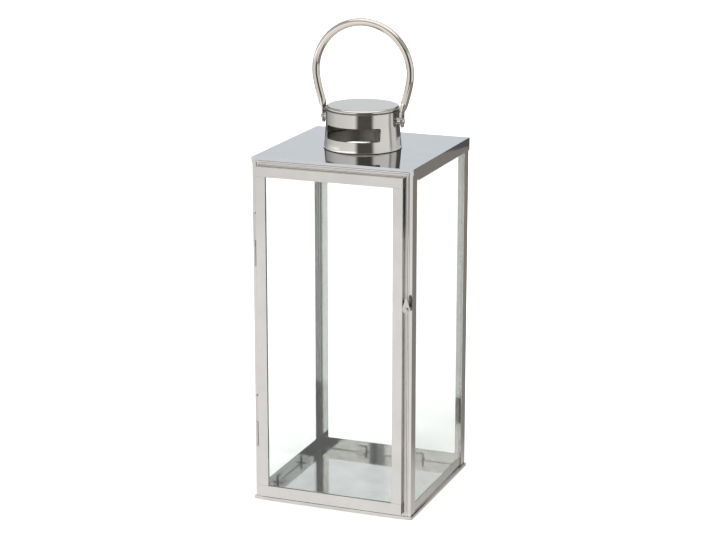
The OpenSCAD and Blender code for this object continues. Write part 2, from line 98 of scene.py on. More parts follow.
class LanternSizes(bpy.types.PropertyGroup):
    """Sizes of the finish and the made-up details, in metres."""
    edge: length_prop("Sheet edge", "Width of the rounded edge of cut and folded sheet", 0.22 * MM)
    soft_edge: length_prop("Fitting edge", "Width of the rounded edge of the small fittings", 0.12 * MM)
    pane_relief: length_prop("Pane relief", "How far a pane's faces stand off the sheet behind it", 0.03 * MM)
    ripple: length_prop("Ripple", "Spacing of the faint ripples in polished sheet", 45 * MM)
    ripple_depth: length_prop("Ripple depth", "Depth of those ripples", 0.05 * MM)
    grain: length_prop("Grain", "Spacing of the turned grain round the chimney cup", 0.9 * MM)
    grain_depth: length_prop("Grain depth", "Depth of that grain", 0.002 * MM)
    arris: length_prop("Arris", "Width of the ground edge of each pane", 0.3 * MM)
    wall: length_prop("Cup wall", "Thickness of the spun cup", 0.8 * MM)
    cup_radius: length_prop("Cup radius", "Outside radius of the cup above its flare", 35 * MM)
    flare: length_prop("Flare", "How far the cup's wall leans out at its foot", 2.05 * MM)
    flare_height: length_prop("Flare height", "Height over which it leans out", 24 * MM)
    foot_lip: length_prop("Foot lip", "How far the turned foot stands out beyond that", 0.35 * MM)
    foot_gap: length_prop("Foot gap", "Height of the shadow gap under the foot", 0.6 * MM)
    shoulder: length_prop("Shoulder", "Radius of the rounded shoulder round the lid", 2.6 * MM)
    neck: length_prop("Neck", "Depth of the groove turned under the shoulder", 0.7 * MM)
    groove: length_prop("Groove", "Height of that groove", 1.6 * MM)
    seat: length_prop("Seat", "How far the cup's seat on the roof stands out from its radius", 1.4 * MM)
    slot_low: length_prop("Slot bottom", "Bottom of the vent slots above the roof", 10.8 * MM)
    slot_high: length_prop("Slot top", "Top of the vent slots above the roof", 23.6 * MM)
    slot_half: length_prop("Slot half width", "Half the width of a vent slot, straight across", 26.8 * MM)
    slot_corner: length_prop("Slot corner", "Radius of the vent slots' corners", 1.4 * MM)
    tube: length_prop("Tube", "Radius of the handle's tube", 3.6 * MM)
    tab: length_prop("Tab", "Half the thickness of the handle's flattened ends", 0.9 * MM)
    tab_width: length_prop("Tab width", "Half the width of the flattened ends at the top", 4.7 * MM)
    tab_tip: length_prop("Tab tip", "Radius of the rounded tip of the flattened ends", 3.2 * MM)
    tab_up: length_prop("Tab above", "Length of the flattened ends above the rivet", 9 * MM)
    tab_down: length_prop("Tab below", "Length of the flattened ends below the rivet", 6.2 * MM)
    tab_play: length_prop("Tab play", "Clearance between a spacer and a flattened end", 0.15 * MM)
    tab_hole: length_prop("Tab hole", "Radius of the rivet hole", 1.85 * MM)
    tab_edge: length_prop("Tab edge", "Rounding of the rim of the flattened ends", 0.25 * MM)
    pinch: length_prop("Pinch", "Length over which the tube flattens", 9 * MM)
    crease: length_prop("Crease", "How far the tube's swell runs down the middle of a flattened end", 3 * MM)


class LanternStudio(bpy.types.PropertyGroup):
    """Camera and lights."""
    azimuth: FloatProperty(name="Azimuth", description="Camera's turn from the front towards the right",
                           default=math.radians(21.3), subtype="ANGLE", unit="ROTATION")
    elevation: FloatProperty(name="Elevation", description="Camera's angle above the horizon",
                             default=math.radians(14.97), subtype="ANGLE", unit="ROTATION")
    distance: length_prop("Distance", "Camera's distance from the point it looks at", 2.042)
    aim_left: length_prop("Aim left", "How far left of the lantern's middle the camera looks", 2.85 * MM)
    aim_height: length_prop("Aim height", "Height of the point that the camera looks at", 216.5 * MM)
    lens: FloatProperty(name="Lens", description="Focal length", default=105.8, min=20, max=300,
                        subtype="DISTANCE_CAMERA", unit="CAMERA")
    floor: colour_prop("Floor", "Matt white floor", "f7f7f6")


# ---------- Nodes and materials ----------


def add(tree, kind, settings=None, links=None):
    """Adds one node. Settings name its sockets or properties, and links feed its sockets.

    The setting called stops fills a colour ramp.
    """
    node = tree.nodes.new(kind)
    for name, value in (settings or {}).items():
        if name == "stops":
            ramp = node.color_ramp
            while len(ramp.elements) < len(value):
                ramp.elements.new(1.0)
            for element, (place, colour) in zip(ramp.elements, value):
                element.position = place
                element.color = colour
        elif isinstance(name, int) or name in node.inputs:
            node.inputs[name].default_value = value
        else:
            setattr(node, name, value)
    for name, source in (links or {}).items():
        tree.links.new(source, node.inputs[name])
    return node


def new_material(name):
    """An empty node material and its tree."""
    material = bpy.data.materials.new(name)
    material.use_nodes = True
    material.node_tree.nodes.clear()
    return material, material.node_tree


def stretched_noise(tree, place, spacing, detail=2.0, rough=0.5):
    """Noise whose spacing is given in metres along each axis of the lantern."""
    scale = tuple(1 / s for s in spacing)
    mapped = add(tree, "ShaderNodeMapping", {"vector_type": "POINT", "Scale": scale}, {"Vector": place})
    return add(tree, "ShaderNodeTexNoise", {"Scale": 1.0, "Detail": detail, "Roughness": rough},
               {"Vector": mapped.outputs["Vector"]})


def steel_material(name, colour, smooth, dull, grain, grain_depth, ripple, ripple_depth, shade=0.94):
    """Stainless steel: its grain gives the gloss a direction, and its ripples bend what it reflects."""
    material, tree = new_material(name)
    place = add(tree, "ShaderNodeTexCoord").outputs["Object"]
    wide = stretched_noise(tree, place, (ripple,) * 3, 1.0)
    fine = stretched_noise(tree, place, grain, 2.0, 0.6)
    handled = stretched_noise(tree, place, (30 * MM,) * 3, 3.0, 0.6)
    tone = add(tree, "ShaderNodeMapRange",
               {"From Min": 0.35, "From Max": 0.7, "To Min": shade, "To Max": 1.0},
               {"Value": handled.outputs["Fac"]})
    tinted = add(tree, "ShaderNodeMix",
                 {"data_type": "RGBA", "blend_type": "MULTIPLY", 0: 1.0, 6: tuple(colour)},
                 {7: tone.outputs["Result"]})
    gloss = add(tree, "ShaderNodeMapRange",
                {"From Min": 0.3, "From Max": 0.7, "To Min": smooth, "To Max": dull},
                {"Value": fine.outputs["Fac"]})
    rolled = add(tree, "ShaderNodeBump", {"Strength": 1.0, "Distance": ripple_depth},
                 {"Height": wide.outputs["Fac"]})
    ground = add(tree, "ShaderNodeBump", {"Strength": 1.0, "Distance": grain_depth},
                 {"Height": fine.outputs["Fac"], "Normal": rolled.outputs["Normal"]})
    metal = add(tree, "ShaderNodeBsdfPrincipled", {"Metallic": 1.0},
                {"Base Color": tinted.outputs[2], "Roughness": gloss.outputs["Result"],
                 "Normal": ground.outputs["Normal"]})
    add(tree, "ShaderNodeOutputMaterial", None, {"Surface": metal.outputs["BSDF"]})
    return material


def polished_stainless(colours, sizes):
    # Polished stainless sheet: a near mirror that wavers a little, because rolled sheet is never quite flat
    return steel_material("polished_stainless", colours.steel, 0.05, 0.10,
                          (4 * MM, 4 * MM, 60 * MM), 0.001 * MM, sizes.ripple, sizes.ripple_depth)


def mirror_stainless(colours, sizes):
    # Mirror stainless sheet: the roof reflects the chimney almost sharply
    return steel_material("mirror_stainless", colours.roof, 0.03, 0.07,
                          (60 * MM, 3 * MM, 3 * MM), 0.001 * MM, sizes.ripple, 0.6 * sizes.ripple_depth)


def tray_stainless(colours, sizes):
    # Polished sheet dulled by wax and wiping: it reflects, but in soft streaks
    return steel_material("wiped_tray_stainless", colours.tray, 0.05, 0.13,
                          (26 * MM, 3 * MM, 3 * MM), 0.004 * MM, 0.5 * sizes.ripple, sizes.ripple_depth, 0.86)


def spun_stainless(colours, sizes):
    # Spun stainless cup: fine turned rings that stretch every highlight across them
    return steel_material("spun_stainless", colours.cup, 0.07, 0.13,
                          (30 * MM, 30 * MM, sizes.grain), sizes.grain_depth,
                          sizes.ripple, 0.3 * sizes.ripple_depth)


def tarnish_and_shade_stainless(colours, sizes):
    # Heat-tarnished steel inside the cup: soot and oxide leave it brown-grey with only a dull gloss. The same
    # steel is also laid in the groove under the shoulder and in the gap at the foot as painted shade.
    return steel_material("heat_tarnish_and_painted_shade_stainless", colours.lining_and_shade, 0.30, 0.50,
                          (6 * MM, 6 * MM, 2 * MM), 0.006 * MM,
                          0.3 * sizes.ripple, 0.3 * sizes.ripple_depth, 0.6)


def drawn_tube_steel(colours, sizes):
    # Drawn stainless tube: bright, with faint streaks along the tube
    return steel_material("drawn_tube_stainless", colours.tube, 0.05, 0.11,
                          (12 * MM, 1 * MM, 12 * MM), 0.001 * MM, sizes.ripple, 0.2 * sizes.ripple_depth)


def fitting_steel(colours, sizes):
    # Pressed and plated steel: small parts with a tumbled, slightly dull face
    return steel_material("tumbled_fitting_steel", colours.fittings, 0.08, 0.18,
                          (1.5 * MM,) * 3, 0.003 * MM, 0.2 * sizes.ripple, 0.2 * sizes.ripple_depth, 0.88)


def float_glass(colours, sizes):
    # Float glass: clear through its face and green through its edge, where light runs a long way inside it
    material, tree = new_material("float_glass")
    place = add(tree, "ShaderNodeTexCoord").outputs["Object"]
    draw = stretched_noise(tree, place, (70 * MM, 70 * MM, 160 * MM), 1.0)
    wiped = stretched_noise(tree, place, (25 * MM, 25 * MM, 8 * MM), 3.0)
    drawn = add(tree, "ShaderNodeBump", {"Strength": 1.0, "Distance": 0.004 * MM},
                {"Height": draw.outputs["Fac"]})
    smear = add(tree, "ShaderNodeMapRange",
                {"From Min": 0.45, "From Max": 0.8, "To Min": 0.0, "To Max": 0.03},
                {"Value": wiped.outputs["Fac"]})
    pane = add(tree, "ShaderNodeBsdfPrincipled",
               {"Base Color": tuple(colours.glass), "IOR": 1.52, "Transmission Weight": 1.0},
               {"Roughness": smear.outputs["Result"], "Normal": drawn.outputs["Normal"]})
    depth = add(tree, "ShaderNodeVolumeAbsorption",
                {"Color": tuple(colours.glass_depth), "Density": GLASS_DENSITY})
    add(tree, "ShaderNodeOutputMaterial", None,
        {"Surface": pane.outputs["BSDF"], "Volume": depth.outputs["Volume"]})
    return material


def matt_floor(studio):
    # Matt white board: it throws soft light back up and shows next to no gloss
    material, tree = new_material("matt_white_board")
    place = add(tree, "ShaderNodeTexCoord").outputs["Object"]
    tooth = stretched_noise(tree, place, (2 * MM,) * 3)
    felt = add(tree, "ShaderNodeBump", {"Strength": 0.2, "Distance": 0.05 * MM},
               {"Height": tooth.outputs["Fac"]})
    board = add(tree, "ShaderNodeBsdfPrincipled",
                {"Base Color": tuple(studio.floor), "Roughness": 0.9, "Specular IOR Level": 0.1},
                {"Normal": felt.outputs["Normal"]})
    add(tree, "ShaderNodeOutputMaterial", None, {"Surface": board.outputs["BSDF"]})
    return material


# ---------- Working on the frame's pieces ----------


def wear(name, material):
    """Gives a CAD node one material."""
    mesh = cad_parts[name].data
    mesh.materials.clear()
    mesh.materials.append(material)


def ease_edges(piece, width, angle=30.0, segments=2):
    """Rounds the sharp edges of a piece, as a folded or tumbled edge is."""
    weld = piece.modifiers.new("join_faces", "WELD")
    weld.merge_threshold = 0.001 * MM
    bevel = piece.modifiers.new("eased_edge", "BEVEL")
    bevel.width = width
    bevel.segments = segments
    bevel.limit_method = "ANGLE"
    bevel.angle_limit = math.radians(angle)
    bevel.use_clamp_overlap = True
    even = piece.modifiers.new("even_shading", "WEIGHTED_NORMAL")
    even.keep_sharp = False
    even.weight = 80


def settings():
    """The colours and sizes that a user has set."""
    scene = bpy.context.scene
    return scene.lantern_colours, scene.lantern_sizes


def mesh_piece(name, build):
    """A new object whose mesh the given function fills."""
    mesh = bpy.data.meshes.new(name)
    form = bmesh.new()
    build(form)
    form.to_mesh(mesh)
    form.free()
    piece = bpy.data.objects.new(name, mesh)
    bpy.context.scene.collection.objects.link(piece)
    return piece


def bridge(form, first, second, material=0):
    """Closes the strip between two rows of corners. None stands for a gap."""
    for i in range(len(first) - 1):
        corners = (first[i], first[i + 1], second[i + 1], second[i])
        if None not in corners:
            face = form.faces.new(corners)
            face.smooth = True
            face.material_index = material


def closed(row):
    """The row with its first corner again at the end."""
    return row + row[:1]


# ---------- Chimney cup ----------

# Columns across a slot and between the slots
SLOT_STEPS = 34
SIDE_STEPS = 30
# Rows under, beside and over the slots, as shares of each height
LOW_STEPS = (0.0, 0.06, 0.14, 0.24, 0.36, 0.5, 0.66, 0.82, 1.0)
MID_STEPS = (0.15, 0.32, 0.5, 0.68, 0.85)
HIGH_STEPS = (0.0, 0.12, 0.3, 0.55, 0.8, 1.0)
# How hollow the flare is, 1 being straight, and how high the lip of the foot dies away
FLARE_CURVE = 1.1
LIP_HEIGHT = 0.8 * MM


def cup_columns(sizes):
    """Upright columns round the cup, as (x, side) across a slot and (share, side) between the slots."""
    shares = [i / SLOT_STEPS for i in range(SLOT_STEPS + 1)]
    # Columns close up towards the slot's corners
    across = [sizes.slot_half * math.sin(math.pi * (s - 0.5)) for s in shares]
    between = [(i + 1) / (SIDE_STEPS + 1) for i in range(SIDE_STEPS)]
    columns = [("slot", x, -1) for x in across] + [("side", t, 1) for t in between]
    return columns + [("slot", -x, 1) for x in across] + [("side", 1 - t, -1) for t in between]


def cup_point(sizes, column, radius, height):
    """Where a column meets the given radius."""
    kind, place, side = column
    if kind == "slot":
        return (place, side * math.sqrt(radius * radius - place * place), height)
    edge = math.asin(sizes.slot_half / radius)
    turn = edge + place * (math.pi - 2 * edge)
    return (side * radius * math.sin(turn), -radius * math.cos(turn), height)


def cup_wall(sizes, height):
    """Outside radius of the cup's wall at a height above the roof."""
    lean = max(0.0, 1 - height / sizes.flare_height) ** FLARE_CURVE
    return sizes.cup_radius + sizes.flare * lean + sizes.foot_lip * math.exp(-height / LIP_HEIGHT)


def lid_point(sizes, column, radius, height):
    """A point of the lid, in the direction in which the column stands in the wall."""
    x, y, level = cup_point(sizes, column, sizes.cup_radius, height)
    turn = math.atan2(x, -y)
    return (radius * math.sin(turn), -radius * math.cos(turn), level)


def spun_cup(sizes, roof, top):
    """Fills a mesh with the cup: one wall with two vent slots, a turned shoulder and a lid."""
    def build(form):
        columns = cup_columns(sizes)
        tall = top - roof
        neck = tall - sizes.shoulder - sizes.groove
        corner = sizes.slot_corner

        def slot_ends(column):
            """Bottom and top of the slot at a column. Between the slots they close in by a whole corner."""
            reach = corner if column[0] == "side" else max(0.0, abs(column[1]) - (sizes.slot_half - corner))
            drop = corner - math.sqrt(max(0.0, corner * corner - reach * reach))
            return sizes.slot_low + drop, sizes.slot_high - drop

        def solid(column):
            """Whether the wall runs past the slots at a column: between them, and along their sides."""
            return column[0] == "side" or abs(abs(column[1]) - sizes.slot_half) < 1e-9

        def skin(inset):
            """The rows of one face of the wall, foot to neck. Rows inside a slot hold None."""
            low, mid, high = [], [], []
            for share in LOW_STEPS:
                low.append([(c, share * slot_ends(c)[0]) for c in columns])
            for share in MID_STEPS:
                row = []
                for c in columns:
                    bottom, head = slot_ends(c)
                    row.append((c, bottom + share * (head - bottom)) if solid(c) else None)
                mid.append(row)
            for share in HIGH_STEPS:
                high.append([(c, slot_ends(c)[1] + share * (neck - slot_ends(c)[1])) for c in columns])
            rows = []
            for row in low + mid + high:
                made = []
                for item in row:
                    if item is None:
                        made.append(None)
                        continue
                    column, height = item
                    radius = cup_wall(sizes, height) - inset
                    if not inset and height < 1e-9:
                        height = sizes.foot_gap
                    made.append(form.verts.new(cup_point(sizes, column, radius, roof + height)))
                rows.append(closed(made))
            return rows

        outer, inner = skin(0.0), skin(sizes.wall)
        for row, above in zip(outer, outer[1:]):
            bridge(form, row, above)
        for row, above in zip(inner, inner[1:]):
            bridge(form, above, row, 1)
        # Cut edges of the slots
        sill, head = len(LOW_STEPS) - 1, len(LOW_STEPS) + len(MID_STEPS)
        for i in range(len(columns)):
            j = (i + 1) % len(columns)
            if columns[i][0] == "slot" and columns[j][0] == "slot":
                for row, flip in ((sill, False), (head, True)):
                    edge = [outer[row][i], inner[row][i], inner[row][j], outer[row][j]]
                    form.faces.new(edge[::-1] if flip else edge)
            if columns[i][0] == "slot" and solid(columns[i]):
                starts = columns[(i - 1) % len(columns)][0] == "side"
                for row in range(sill, head):
                    edge = [outer[row][i], outer[row + 1][i], inner[row + 1][i], inner[row][i]]
                    form.faces.new(edge if starts else edge[::-1])
        # Foot: the wall's edge stands in from its lip and leaves a shadow gap over the roof. The gap's faces
        # wear the dark lining steel as painted shade.
        under = sizes.cup_radius + sizes.seat
        foot = closed([form.verts.new(cup_point(sizes, c, under, roof + sizes.foot_gap)) for c in columns])
        seat = closed([form.verts.new(cup_point(sizes, c, under, roof)) for c in columns])
        bridge(form, seat, foot, 1)
        bridge(form, foot, outer[0], 1)
        bridge(form, inner[0], seat, 1)
        # Shoulder and lid
        ring = sizes.cup_radius - sizes.shoulder
        crest = tall - sizes.shoulder
        deep = sizes.cup_radius - sizes.neck
        outside = [(sizes.cup_radius - 0.05 * MM, neck + 0.1 * MM), (deep, neck + 0.25 * MM),
                   (deep, neck + sizes.groove - 0.15 * MM), (sizes.cup_radius, neck + sizes.groove)]
        for turn in range(0, 91, 9):
            a = math.radians(turn)
            outside.append((ring + sizes.shoulder * math.cos(a), crest + sizes.shoulder * math.sin(a)))
        outside += [(share * ring, tall) for share in (0.985, 0.9, 0.7, 0.45, 0.2, 0.03)]
        inside = [(sizes.cup_radius - sizes.wall, crest)]
        inside += [(share * (sizes.cup_radius - sizes.wall - 1.2 * MM), tall - sizes.wall)
                   for share in (1.0, 0.9, 0.6, 0.3, 0.03)]
        for profile, start, material in ((outside, outer[-1], 0), (inside, inner[-1], 1)):
            row = start
            for step, (radius, height) in enumerate(profile):
                ringed = closed([form.verts.new(lid_point(sizes, c, radius, roof + height)) for c in columns])
                if material:
                    bridge(form, ringed, row, 1)
                else:
                    # The groove wears the dark lining steel: painted shade under the shoulder
                    bridge(form, row, ringed, 1 if step in (1, 2, 3) else 0)
                row = ringed
            form.faces.new(row[:-1] if not material else row[-2::-1]).material_index = material
    return build


# ---------- Bail handle ----------

ROUND_STEPS = 44
HOLE_STEPS = 60
TIP_STEPS = 32
# Spacing of the rings along the flattening end and along the loop
FINE_STEP = 0.35 * MM
LOOP_STEP = 1.4 * MM
# Height over the rivet where the pierced end meets the swept tube
FLAT_END = 3 * MM
# Length of tube that the bend at the loop is averaged over, and how far along the tube that dies away
LOOP_EASE, LOOP_SPREAD = 20 * MM, 16 * MM
# The same for the bend at the flattened end, with how far past that end it lies
END_EASE, END_SPREAD, END_PLACE = 7 * MM, 5 * MM, 2 * MM
EASE_STEPS = 11
# Distance to each side over which the tube's direction is taken
NUDGE = 0.2 * MM


def smooth(share):
    """A share that starts and ends gently."""
    return share * share * (3 - 2 * share)


def squashed(sizes, along, turn):
    """Corner of the tube's section: across and sideways, at a distance past the flattened end."""
    roundness = min(1.0, max(0.0, (along + 0.5 * sizes.crease) / sizes.pinch))
    power = 2 / (2 + 5 * (1 - roundness) ** 2)
    narrow = max(0.0, -along) * math.tan(tab_taper(sizes))
    rounding = smooth(min(1.0, max(0.0, along / sizes.pinch)))
    width = sizes.tab_width - narrow + (sizes.tube - sizes.tab_width) * rounding
    c, s = math.cos(turn), math.sin(turn)
    side = width * math.copysign(abs(s) ** power, s)
    reach = along + sizes.crease * (1 - (side / width) ** 2)
    swell = min(1.0, max(0.0, reach / (sizes.pinch + sizes.crease)))
    thick = sizes.tab + (sizes.tube - sizes.tab) * math.sin(0.5 * math.pi * swell) ** 0.9
    return thick * math.copysign(abs(c) ** power, c), side


def tab_taper(sizes):
    """Slant of the sides of a flattened end."""
    fall = sizes.tab_up + sizes.tab_down - sizes.tab_tip
    return math.acos(sizes.tab_tip / math.hypot(sizes.tab_width, fall)) - math.atan2(fall, sizes.tab_width)


def tab_outline(sizes, top):
    """Outline of a flattened end below a height over the rivet, as y and z from the rivet's middle."""
    slant = tab_taper(sizes)
    low = sizes.tab_tip - sizes.tab_down
    wide = sizes.tab_width - (sizes.tab_up - top) * math.tan(slant)
    arc = [(sizes.tab_tip * math.cos(a), low + sizes.tab_tip * math.sin(a))
           for a in (-slant - (math.pi - 2 * slant) * i / TIP_STEPS for i in range(TIP_STEPS + 1))]
    return [(wide, top)] + arc + [(-wide, top)]


def outline_reach(outline, turn):
    """Distance from the middle to a convex outline in one direction."""
    dy, dz = math.cos(turn), math.sin(turn)
    best = 0.0
    for (y0, z0), (y1, z1) in zip(outline, outline[1:] + outline[:1]):
        ey, ez = y1 - y0, z1 - z0
        cross = dy * ez - dz * ey
        if abs(cross) > 1e-12:
            far = (y0 * ez - z0 * ey) / cross
            share = (y0 * dz - z0 * dy) / cross
            if far > 0 and -1e-6 <= share <= 1 + 1e-6:
                best = max(best, far)
    return best


def bail_tube(sizes):
    """Fills a mesh with the handle: a swept tube that flattens at both ends, and two pierced tips."""
    def build(form):
        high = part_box("bail_handle")[1]
        rivet_low, rivet_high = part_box("bail_rivet_right")
        pivot = 0.5 * (rivet_low.z + rivet_high.z)
        tab_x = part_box("bail_spacer_right")[1].x + sizes.tab_play + sizes.tab
        tab_top = pivot + sizes.tab_up
        loop = high.x - sizes.tube
        loop_z = high.z - sizes.tube - loop
        reach = math.hypot(tab_x, loop_z - tab_top)
        lean = math.acos(tab_x / reach) - math.acos(loop / reach)
        leg = math.sqrt(reach * reach - loop * loop)

        turns = [2 * math.pi * i / ROUND_STEPS for i in range(ROUND_STEPS)]
        stations = [FLAT_END - sizes.tab_up]
        while stations[-1] < sizes.pinch + sizes.crease:
            stations.append(stations[-1] + FINE_STEP)
        half = leg + loop * (0.5 * math.pi + lean)
        steps = int((half - stations[-1]) / LOOP_STEP)
        stations += [stations[-1] + (half - stations[-1]) * (i + 1) / steps for i in range(steps)]

        def sharp_path(along):
            """Middle of the tube on the right-hand side, with a straight leg run into the loop."""
            if along <= 0:
                return tab_x, tab_top + along
            if along <= leg:
                return tab_x + along * math.sin(lean), tab_top + along * math.cos(lean)
            a = -lean + (along - leg) / loop
            return loop * math.cos(a), loop_z + loop * math.sin(a)

        def path(along):
            """The same, with the bends eased as a bender's former leaves them."""
            x = z = ease = 0.0
            if along > 0:
                ease = max(LOOP_EASE * math.exp(-((along - leg) / LOOP_SPREAD) ** 2),
                           END_EASE * math.exp(-((along - END_PLACE) / END_SPREAD) ** 2))
            for i in range(EASE_STEPS):
                offset = ease * (i / (EASE_STEPS - 1) - 0.5)
                px, pz = sharp_path(max(along + offset, min(along, 0.0)))
                x += px / EASE_STEPS
                z += pz / EASE_STEPS
            return x, z

        def place(along):
            """Middle of the tube and its outward direction."""
            x0, z0 = path(along - NUDGE)
            x1, z1 = path(along + NUDGE)
            far = math.hypot(x1 - x0, z1 - z0)
            return path(along), ((z1 - z0) / far, (x0 - x1) / far)

        def ring(middle, out, along, flip):
            corners = []
            for turn in turns:
                across, side = squashed(sizes, along, turn)
                x = middle[0] + out[0] * across
                z = middle[1] + out[1] * across
                corners.append(form.verts.new((-x if flip else x, side, z)))
            return corners

        rows = [ring(*place(s), s, False) for s in stations]
        # The left half mirrors the right one, from the top of the loop down
        for s in reversed(stations[:-1]):
            rows.append(ring(*place(s), s, True))
        for row, after in zip(rows, rows[1:]):
            bridge(form, closed(row), closed(after))
        form.faces.new(rows[0])
        form.faces.new(rows[-1][::-1])

        outline = tab_outline(sizes, FLAT_END)
        around = [2 * math.pi * (i + 0.5) / HOLE_STEPS for i in range(HOLE_STEPS)]
        for side in (1, -1):
            loops = []
            for x, inset in ((sizes.tab, sizes.tab_edge), (sizes.tab - sizes.tab_edge, 0.0),
                             (sizes.tab_edge - sizes.tab, 0.0), (-sizes.tab, sizes.tab_edge)):
                row = []
                for turn in around:
                    far = outline_reach(outline, turn)
                    # The top edge meets the tube, so it isn't rounded
                    if far * math.sin(turn) < FLAT_END - 1e-6:
                        far -= inset
                    corner = (side * (tab_x + x), far * math.cos(turn), pivot + far * math.sin(turn))
                    row.append(form.verts.new(corner))
                loops.append(closed(row))
            holes = []
            for x in (sizes.tab, -sizes.tab):
                rim = []
                for turn in around:
                    y, z = sizes.tab_hole * math.cos(turn), sizes.tab_hole * math.sin(turn)
                    rim.append(form.verts.new((side * (tab_x + x), y, pivot + z)))
                holes.append(closed(rim))
            for first, second in ((holes[0], loops[0]), (loops[0], loops[1]), (loops[1], loops[2]),
                                  (loops[2], loops[3]), (loops[3], holes[1]), (holes[1], holes[0])):
                bridge(form, first, second)
        bmesh.ops.recalc_face_normals(form, faces=form.faces[:])
    return build


CASE_SHEET = ("post_front_left", "post_front_right", "post_back_left", "post_back_right", "front_header",
              "top_rail_left", "top_rail_right", "top_rail_back")
DOOR_SHEET = ("door_top_rail", "door_bottom_rail", "door_hinge_stile", "door_latch_stile")
PANES = ("glass_left", "glass_right", "glass_back", "door_glass")
FITTINGS = ("glass_clips_left", "glass_clips_right", "glass_clips_back", "hinge_upper_post_leaf",
            "hinge_upper_door_leaf", "hinge_upper_pin", "hinge_lower_post_leaf", "hinge_lower_door_leaf",
            "hinge_lower_pin", "latch_catch", "latch_bush", "latch_rivet", "bail_rivet_left",
            "bail_rivet_right", "bail_spacer_left", "bail_spacer_right")


class LANTERN_OT_case(bpy.types.Operator):
    """Finish the folded sheet of the case and the door"""
    bl_idname = "lantern.case"
    bl_label = "Case and door sheet"

    def execute(self, context):
        colours, sizes = settings()
        sheet = polished_stainless(colours, sizes)
        for name in CASE_SHEET + DOOR_SHEET:
            wear(name, sheet)
            ease_edges(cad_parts[name], sizes.edge)
        wear("roof_panel", mirror_stainless(colours, sizes))
        ease_edges(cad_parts["roof_panel"], sizes.edge)
        wear("base_tray", tray_stainless(colours, sizes))
        ease_edges(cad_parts["base_tray"], sizes.edge)
        return {"FINISHED"}


class LANTERN_OT_glass(bpy.types.Operator):
    """Glaze the case and the door with float glass"""
    bl_idname = "lantern.glass"
    bl_label = "Panes"

    def execute(self, context):
        colours, sizes = settings()
        glass = float_glass(colours, sizes)
        for name in PANES:
            wear(name, glass)
            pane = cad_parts[name]
            weld = pane.modifiers.new("join_faces", "WELD")
            weld.merge_threshold = 0.001 * MM
            relief = pane.modifiers.new("pane_relief", "DISPLACE")
            relief.strength = -sizes.pane_relief
            relief.mid_level = 0.0
            arris = pane.modifiers.new("ground_arris", "BEVEL")
            arris.width = sizes.arris
            arris.segments = 1
        return {"FINISHED"}


class LANTERN_OT_chimney(bpy.types.Operator):
    """Spin the chimney cup with its shoulder, flared foot and vent slots, and finish its collar"""
    bl_idname = "lantern.chimney"
    bl_label = "Chimney"

    def execute(self, context):
        colours, sizes = settings()
        low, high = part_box("chimney_cup")
        cup = mesh_piece("spun_cup", spun_cup(sizes, low.z, high.z))
        cup.data.materials.append(spun_stainless(colours, sizes))
        cup.data.materials.append(tarnish_and_shade_stainless(colours, sizes))
        ease_edges(cup, 0.5 * sizes.soft_edge, 40.0)
        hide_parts("chimney_cup")
        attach(cup, CASE)
        wear("chimney_collar", cup.data.materials[1])
        ease_edges(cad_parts["chimney_collar"], sizes.soft_edge)
        return {"FINISHED"}


class LANTERN_OT_bail(bpy.types.Operator):
    """Bend the bail handle from tube with flattened, pierced ends"""
    bl_idname = "lantern.bail"
    bl_label = "Bail handle"

    def execute(self, context):
        colours, sizes = settings()
        handle = mesh_piece("tube_handle", bail_tube(sizes))
        handle.data.materials.append(drawn_tube_steel(colours, sizes))
        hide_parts("bail_handle")
        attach(handle, BAIL)
        return {"FINISHED"}


class LANTERN_OT_fittings(bpy.types.Operator):
    """Finish the hinges, latch, clips and rivets"""
    bl_idname = "lantern.fittings"
    bl_label = "Fittings"

    def execute(self, context):
        colours, sizes = settings()
        steel = fitting_steel(colours, sizes)
        for name in FITTINGS:
            wear(name, steel)
            ease_edges(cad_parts[name], sizes.soft_edge)
        return {"FINISHED"}


# ---------- Studio ----------

CARD_RADIUS = 1.2
# Heights where one card ends and the next begins, from the ground to the ceiling
LOW_TOP, CUP_TOP, TRAY_TOP, ROOF_TOP, CEILING = 0.1, 0.37, 0.52, 0.95, 1.9


def reflected_only(piece):
    """Lets only reflections see a card, with or without glass in the way."""
    piece.visible_camera = False
    piece.visible_diffuse = False
    piece.visible_volume_scatter = False
    piece.visible_shadow = False


def grey(value, warm=0.0):
    """A linear grey with a touch of warmth."""
    return (value * (1 + warm), value, value * (1 - warm), 1.0)


def share_of_turn(degrees):
    """Where a direction lies on the radial gradient, with the front in its middle."""
    return 0.5 + degrees / 360


def ring_ramp(tree, place, ring):
    """A colour that changes with the direction round the lantern."""
    turn = add(tree, "ShaderNodeMapping", {"vector_type": "POINT", "Rotation": (0, 0, math.radians(90))},
               {"Vector": place})
    around = add(tree, "ShaderNodeTexGradient", {"gradient_type": "RADIAL"},
                 {"Vector": turn.outputs["Vector"]})
    return add(tree, "ShaderNodeValToRGB", {"stops": [(share_of_turn(d), g) for d, g in ring]},
               {"Fac": around.outputs["Fac"]}).outputs["Color"]


